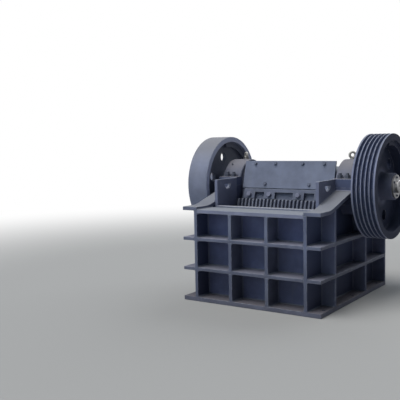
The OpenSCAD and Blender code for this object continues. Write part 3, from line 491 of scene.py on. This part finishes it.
def bead_model(ripples):
    """Rippled bead of unit length along X, in the corner of Y and Z, with legs of one."""
    mesh = bmesh.new()
    section = ((0, 0), (1, 0), (0.64, 0.20), (0.38, 0.38), (0.20, 0.64), (0, 1))
    end = mesh.faces.new([mesh.verts.new((0, y, z)) for y, z in section])
    for i in range(2 * ripples):
        made = bmesh.ops.extrude_face_region(mesh, geom=[end])
        inner, end = end, next(e for e in made["geom"] if isinstance(e, bmesh.types.BMFace))
        size = 1 / SWELL if i % 2 else SWELL
        step = Matrix.Translation((0.5 / ripples, 0, 0)) @ Matrix.Diagonal((1, size, size, 1))
        bmesh.ops.transform(mesh, matrix=step, verts=end.verts)
        if i:
            bmesh.ops.delete(mesh, geom=[inner], context="FACES_ONLY")
    data = bpy.data.meshes.new("bead")
    mesh.to_mesh(data)
    mesh.free()
    return data


BEADS = {ripples: bead_model(ripples) for ripples in (4, 8, 16, 32, 64)}


def lay_bead(mesh, start, end, out_a, out_b, leg, pitch=0.014):
    """A bead from start to end in the corner that opens towards out_a and out_b."""
    along = Vector(end) - Vector(start)
    ripples = min(BEADS, key=lambda n: abs(n - along.length / pitch))
    before = len(mesh.verts)
    mesh.from_mesh(BEADS[ripples])
    mesh.verts.ensure_lookup_table()
    place = Matrix((along, Vector(out_a) * leg, Vector(out_b) * leg)).transposed().to_4x4()
    place.translation = start
    bmesh.ops.transform(mesh, matrix=place, verts=mesh.verts[before:])


def cell_beads(mesh, low, high, out, leg, back_leg, roof=True, ends=(-1, 1)):
    """Beads along the depth and round the back of a cell that is open towards out.

    Without a roof it has none overhead, and ends says which of its two uprights have some.
    """
    out, upright = Vector(out), Vector((0, 0, 1))
    across = out.cross(upright)
    middle, half = (Vector(low) + Vector(high)) / 2, (Vector(high) - Vector(low)) / 2
    wide, deep = across * abs(half.dot(across)), out * abs(half.dot(out))
    decks = (-1, 1) if roof else (-1,)
    for side in ends:
        wall = middle - deep + side * wide
        for deck in decks:
            corner = wall + Vector((0, 0, deck * half.z))
            lay_bead(mesh, corner, corner + 1.98 * deep, -side * across, -deck * upright, leg)
        rise = 0.995 * half.z * upright
        lay_bead(mesh, wall - rise, wall + rise, -side * across, out, back_leg)
    for deck in decks:
        back = middle - deep + deck * half.z * upright
        lay_bead(mesh, back - wide, back + wide, -deck * upright, out, back_leg)


def rows(top):
    """Heights of the three rows of cells, the uppermost as high as the flange over it."""
    floors = [BASE_TOP + i * BAY_STEP for i in range(3)]
    return [(z, min(z + BAY, top)) for z in floors]


def weld_cells():
    rib_in = RIB_OUT - RIB_T
    columns = [(-WALL_IN, -RIB_OUT), (-rib_in, rib_in), (RIB_OUT, WALL_IN)]
    front, rear, side = bmesh.new(), bmesh.new(), bmesh.new()
    for x0, x1 in columns:
        for z0, z1 in rows(FRONT_FLANGE[0].z):
            cell_beads(front, (x0, FRONT, z0), (x1, FRONT_WALL, z1), (0, -1, 0), 0.014, 0.009)
        for z0, z1 in rows(REAR_FLANGE[0].z):
            cell_beads(rear, (x0, REAR_WALL_BACK, z0), (x1, REAR, z1), (0, 1, 0), 0.014, 0.009)
    starts = (FRONT + 0.002, *[y + RIB_T for y in SIDE_RIBS])
    stops = (*SIDE_RIBS, REAR - RIB_T)
    for row, (z0, z1) in enumerate(rows(REAR_FLANGE[0].z)):
        for bay, (y0, y1) in enumerate(zip(starts, stops)):
            for s in (-1, 1):
                x0, x1 = sorted((s * WALL_OUT, s * HALF_W))
                cell_beads(side, (x0, y0, z0), (x1, y1, z1), (s, 0, 0), 0.011, 0.008,
                           roof=row < 2, ends=(-1, 1) if bay else (-s,))
    piece("front_welds", front, "frame", "frame_paint")
    piece("rear_welds", rear, "frame", "frame_paint")
    piece("side_welds", side, "frame", "frame_paint")


def weld_top():
    """Beads on top: beside the ears, along the front flange and at the bearing seats."""
    mesh = bmesh.new()
    rise = tan(FLANGE_SLOPE)
    foot = Vector((0, seat_low.y, ear_low.z + FLANGE_T + rise * (seat_low.y - BEND_Y)))
    ear_foot = foot + Vector((0, 1, rise)) * (ear_low.y - seat_low.y)
    flat_z, rear_z = FRONT_FLANGE[1].z, foot.z
    up_slope = (0, -sin(FLANGE_SLOPE), cos(FLANGE_SLOPE))
    for s in (-1, 1):
        x = Vector((s * WALL_IN, 0, 0))
        lay_bead(mesh, x + ear_foot, x + foot, (s, 0, 0), up_slope, 0.009)
        lay_bead(mesh, x + foot, (s * HALF_W, foot.y, foot.z), (0, -1, 0), (0, 0, 1), 0.010)
        lay_bead(mesh, (s * WALL_IN, seat_high.y, rear_z), (s * HALF_W, seat_high.y, rear_z),
                 (0, 1, 0), (0, 0, 1), 0.010)
        lay_bead(mesh, (s * WALL_IN, FRONT + 0.004, flat_z),
                 (s * WALL_IN, FRONT_FLANGE[1].y, flat_z), (-s, 0, 0), (0, 0, 1), 0.008)
    piece("flange_welds", mesh, "frame", "flange_paint")


# Small fasteners

def hex_bolt(mesh, place, r, height, washer=0.0):
    """Chamfered hexagon head, on a washer if asked, standing along the place's Z."""
    def disc(segments, radius, depth, z):
        return bmesh.ops.create_cone(mesh, cap_ends=True, segments=segments, radius1=radius,
                                     radius2=radius, depth=depth,
                                     matrix=place @ Matrix.Translation((0, 0, z)))

    if washer:
        disc(24, 1.2 * r, washer, washer / 2)
    head = disc(6, r, height, washer + height / 2)
    top = place @ Vector((0, 0, washer + height))
    rim = [e for e in {e for v in head["verts"] for e in v.link_edges}
           if all((v.co - top).length < 1.01 * r for v in e.verts)]
    bmesh.ops.bevel(mesh, geom=rim, offset=0.12 * r, offset_type="OFFSET", affect="EDGES",
                    segments=2, profile=0.5, material=-1, clamp_overlap=True)


def along_x(x, y, z, sign):
    """A place whose Z points along X, outwards on that side."""
    return Matrix.Translation((x, y, z)) @ Matrix.Rotation(sign * pi / 2, 4, "Y")


def bolt_circle(name, body, x, circle, n, r, height):
    """Bolts on a circle about the shaft, on both sides of the machine."""
    mesh = bmesh.new()
    for s in (-1, 1):
        for i in range(n):
            a = 2 * pi * (i + 0.5) / n
            hex_bolt(mesh, along_x(s * x, SHAFT.y + circle * cos(a), SHAFT.z + circle * sin(a), s),
                     r, height, washer=0.002)
    piece(name, mesh, body, "fastener_steel")


def turned(mesh, place, outline):
    """Solid with that outline of radii and heights about the place's Z."""
    others = set(mesh.verts)
    corners = [mesh.verts.new((r, 0, z)) for r, z in outline]
    sides = [mesh.edges.new(pair) for pair in zip(corners, corners[1:])]
    bmesh.ops.spin(mesh, geom=corners + sides, cent=(0, 0, 0), axis=(0, 0, 1), angle=2 * pi,
                   steps=16, use_merge=True)
    made = [v for v in mesh.verts if v not in others]
    bmesh.ops.transform(mesh, matrix=place, verts=made)
    bmesh.ops.remove_doubles(mesh, verts=made, dist=1e-6)


NIPPLE = ((0, 0.006), (0.005, 0.006), (0.005, 0.013), (0.0035, 0.0135), (0.0055, 0.017),
          (0.003, 0.021), (0, 0.021))
NIPPLE_X, NIPPLE_LEAN, CAP_R = 0.630, radians(38), 0.2385


def fit_grease_nipples():
    """A nipple on each cap, above the bearing."""
    mesh = bmesh.new()
    for s in (-1, 1):
        place = (Matrix.Translation((s * NIPPLE_X, SHAFT.y, SHAFT.z))
                 @ Matrix.Rotation(NIPPLE_LEAN, 4, "X") @ Matrix.Translation((0, 0, CAP_R)))
        hex_bolt(mesh, place, r=0.008, height=0.008)
        turned(mesh, place, NIPPLE)
    piece("grease_nipples", mesh, "frame", "fastener_steel")


weld_cells()
weld_top()
bolt_circle("cover_bolts", "frame", COVER_FACE, circle=0.193, n=10, r=0.0095, height=0.0075)
bolt_circle("lock_ring_bolts", "rotor", RING_FACE, circle=0.080, n=6, r=0.0095, height=0.0075)
fit_grease_nipples()


# Floor, backdrop and lamps

def lay_floor():
    """Pale floor that keeps the shadow, and fades to the white backdrop far from the machine."""
    mesh = bmesh.new()
    bmesh.ops.create_grid(mesh, x_segments=1, y_segments=1, size=60.0)
    data = bpy.data.meshes.new("floor")
    mesh.to_mesh(data)
    mesh.free()
    floor = bpy.data.objects.new("floor", data)
    floor.location.z = -0.002
    f = Finish("pale_concrete")
    f.wear(Base_Color=(0.33, 0.328, 0.325), Roughness=0.9, Specular_IOR_Level=0.1)
    x, y = f.axis(f.place, 0), f.axis(f.place, 1)
    far = f.ramp((x * x + y * y) ** 0.5, 3.0, 9.0)
    seen = f.node("ShaderNodeLightPath", output="Is Camera Ray")
    white = f.tree.nodes.new("ShaderNodeEmission")
    blend = f.tree.nodes.new("ShaderNodeMixShader")
    f.feed(blend.inputs[0], far * seen)
    f.tree.links.new(f.shader.outputs[0], blend.inputs[1])
    f.tree.links.new(white.outputs[0], blend.inputs[2])
    f.tree.links.new(blend.outputs[0], f.tree.nodes["Material Output"].inputs["Surface"])
    data.materials.append(f.material)
    bpy.context.scene.collection.objects.link(floor)


def light_the_room():
    """Soft bluish light, weaker from the sheave's side, round a white backdrop; and the lamps."""
    world = bpy.data.worlds.new("room")
    bpy.context.scene.world = world
    world.use_nodes = True
    tree = world.node_tree
    tree.nodes.clear()

    def shine(colour, strength):
        made = tree.nodes.new("ShaderNodeBackground")
        made.inputs["Color"].default_value = (*colour, 1.0)
        made.inputs["Strength"].default_value = strength
        return made.outputs[0]

    def blend(factor, a, b):
        made = tree.nodes.new("ShaderNodeMixShader")
        for socket, source in zip(made.inputs, (factor, a, b)):
            tree.links.new(source, socket)
        return made.outputs[0]

    def larger(a, b):
        made = tree.nodes.new("ShaderNodeMath")
        made.operation = "MAXIMUM"
        tree.links.new(a, made.inputs[0])
        tree.links.new(b, made.inputs[1])
        return made.outputs[0]

    direction = tree.nodes.new("ShaderNodeTexCoord").outputs["Generated"]
    parts = tree.nodes.new("ShaderNodeSeparateXYZ")
    tree.links.new(direction, parts.inputs[0])
    towards = tree.nodes.new("ShaderNodeMapRange")
    tree.links.new(parts.outputs["X"], towards.inputs["Value"])
    towards.inputs["From Min"].default_value = -0.5
    towards.inputs["From Max"].default_value = 0.7
    path = tree.nodes.new("ShaderNodeLightPath").outputs
    seen = larger(larger(path["Is Camera Ray"], path["Is Glossy Ray"]),
                  path["Is Transmission Ray"])
    bluish = (0.42, 0.66, 1.0)
    room = blend(towards.outputs[0], shine(bluish, 0.20), shine(bluish, 0.05))
    whole = blend(seen, room, shine((1.0, 1.0, 1.0), 1.0))
    tree.links.new(whole, tree.nodes.new("ShaderNodeOutputWorld").inputs["Surface"])
    sun_lamp("roof_light", (0.22, 0.36, -0.91), 0.92, 48.0, (1.0, 0.985, 0.95))
    sun_lamp("front_light", (0.36, 0.90, -0.25), 0.23, 70.0, (0.72, 0.89, 1.0))
    sun_lamp("rear_light", (-0.10, -0.80, -0.60), 0.38, 50.0, (0.95, 0.98, 1.0))


place_camera()
lay_floor()
light_the_room()
bpy.context.scene.view_settings.view_transform = "Standard"
